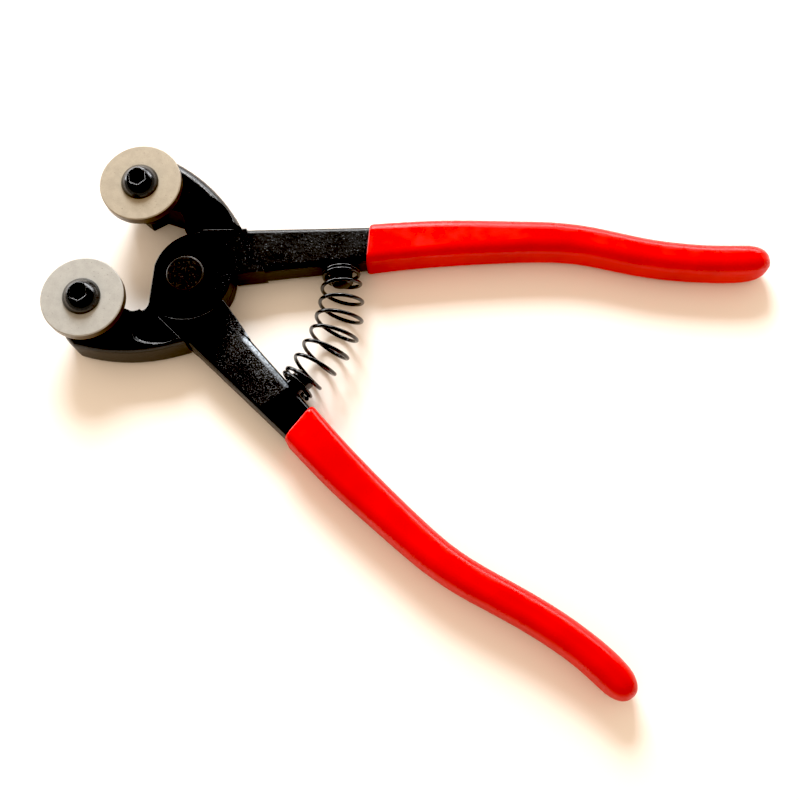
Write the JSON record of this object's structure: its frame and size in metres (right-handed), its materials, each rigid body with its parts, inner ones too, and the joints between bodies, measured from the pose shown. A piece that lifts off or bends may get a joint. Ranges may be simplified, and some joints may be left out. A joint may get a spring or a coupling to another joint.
{
  "type": "mosaic glass nippers",
  "caption": "Hand nippers with carbide cutting wheels for mosaic glass: riveted steel halves, a coil return spring and dipped vinyl grips.",
  "frame": {"origin": "on the pivot axis, at the flat rear head of the rivet, which is on the plane that the tool lies on", "axes": "+X along the handles' bisector, away from the jaws; +Y towards the front half's handle; +Z along the pivot axis, towards the wheels' screws"},
  "size_m": [0.1776, 0.1244, 0.0192],
  "materials": {
    "blackened_steel": "glossy black enamel over a cast, sparkling texture",
    "rivet_steel": "satin black",
    "carbide": "fine ground, matt",
    "black_screw_steel": "black oxide, glossy",
    "spring_steel": "glossy black",
    "red_vinyl": "glossy dipped vinyl"
  },
  "bodies": {
    "front": {"front_half": "blackened_steel", "pivot_rivet": "rivet_steel", "front_wheel_screw": "black_screw_steel", "front_spring_peg": "rivet_steel", "front_grip": "red_vinyl", "return_spring": "spring_steel"},
    "rear": {"rear_half": "blackened_steel", "rear_wheel_screw": "black_screw_steel", "rear_spring_peg": "rivet_steel", "rear_grip": "red_vinyl"},
    "front_cutter": {"front_wheel": "carbide"},
    "rear_cutter": {"rear_wheel": "carbide"}
  },
  "joints": [
    {"name": "handle_pivot", "type": "hinge", "parent": "front", "child": "rear", "pos_m": [0, 0, 0], "axis": [0, 0, 1], "range_deg": [0, 33.5], "stiffness_Nm_per_rad": 2.5, "springref_deg": -8.59, "deforming": ["return_spring"]},
    {"name": "front_wheel_index", "type": "hinge", "parent": "front", "child": "front_cutter", "pos_m": [-0.02, -0.0177, 0.0132], "axis": [0, 0, 1], "continuous": true},
    {"name": "rear_wheel_index", "type": "hinge", "parent": "rear", "child": "rear_cutter", "pos_m": [-0.02, 0.0177, 0.0132], "axis": [0, 0, 1], "continuous": true}
  ]
}
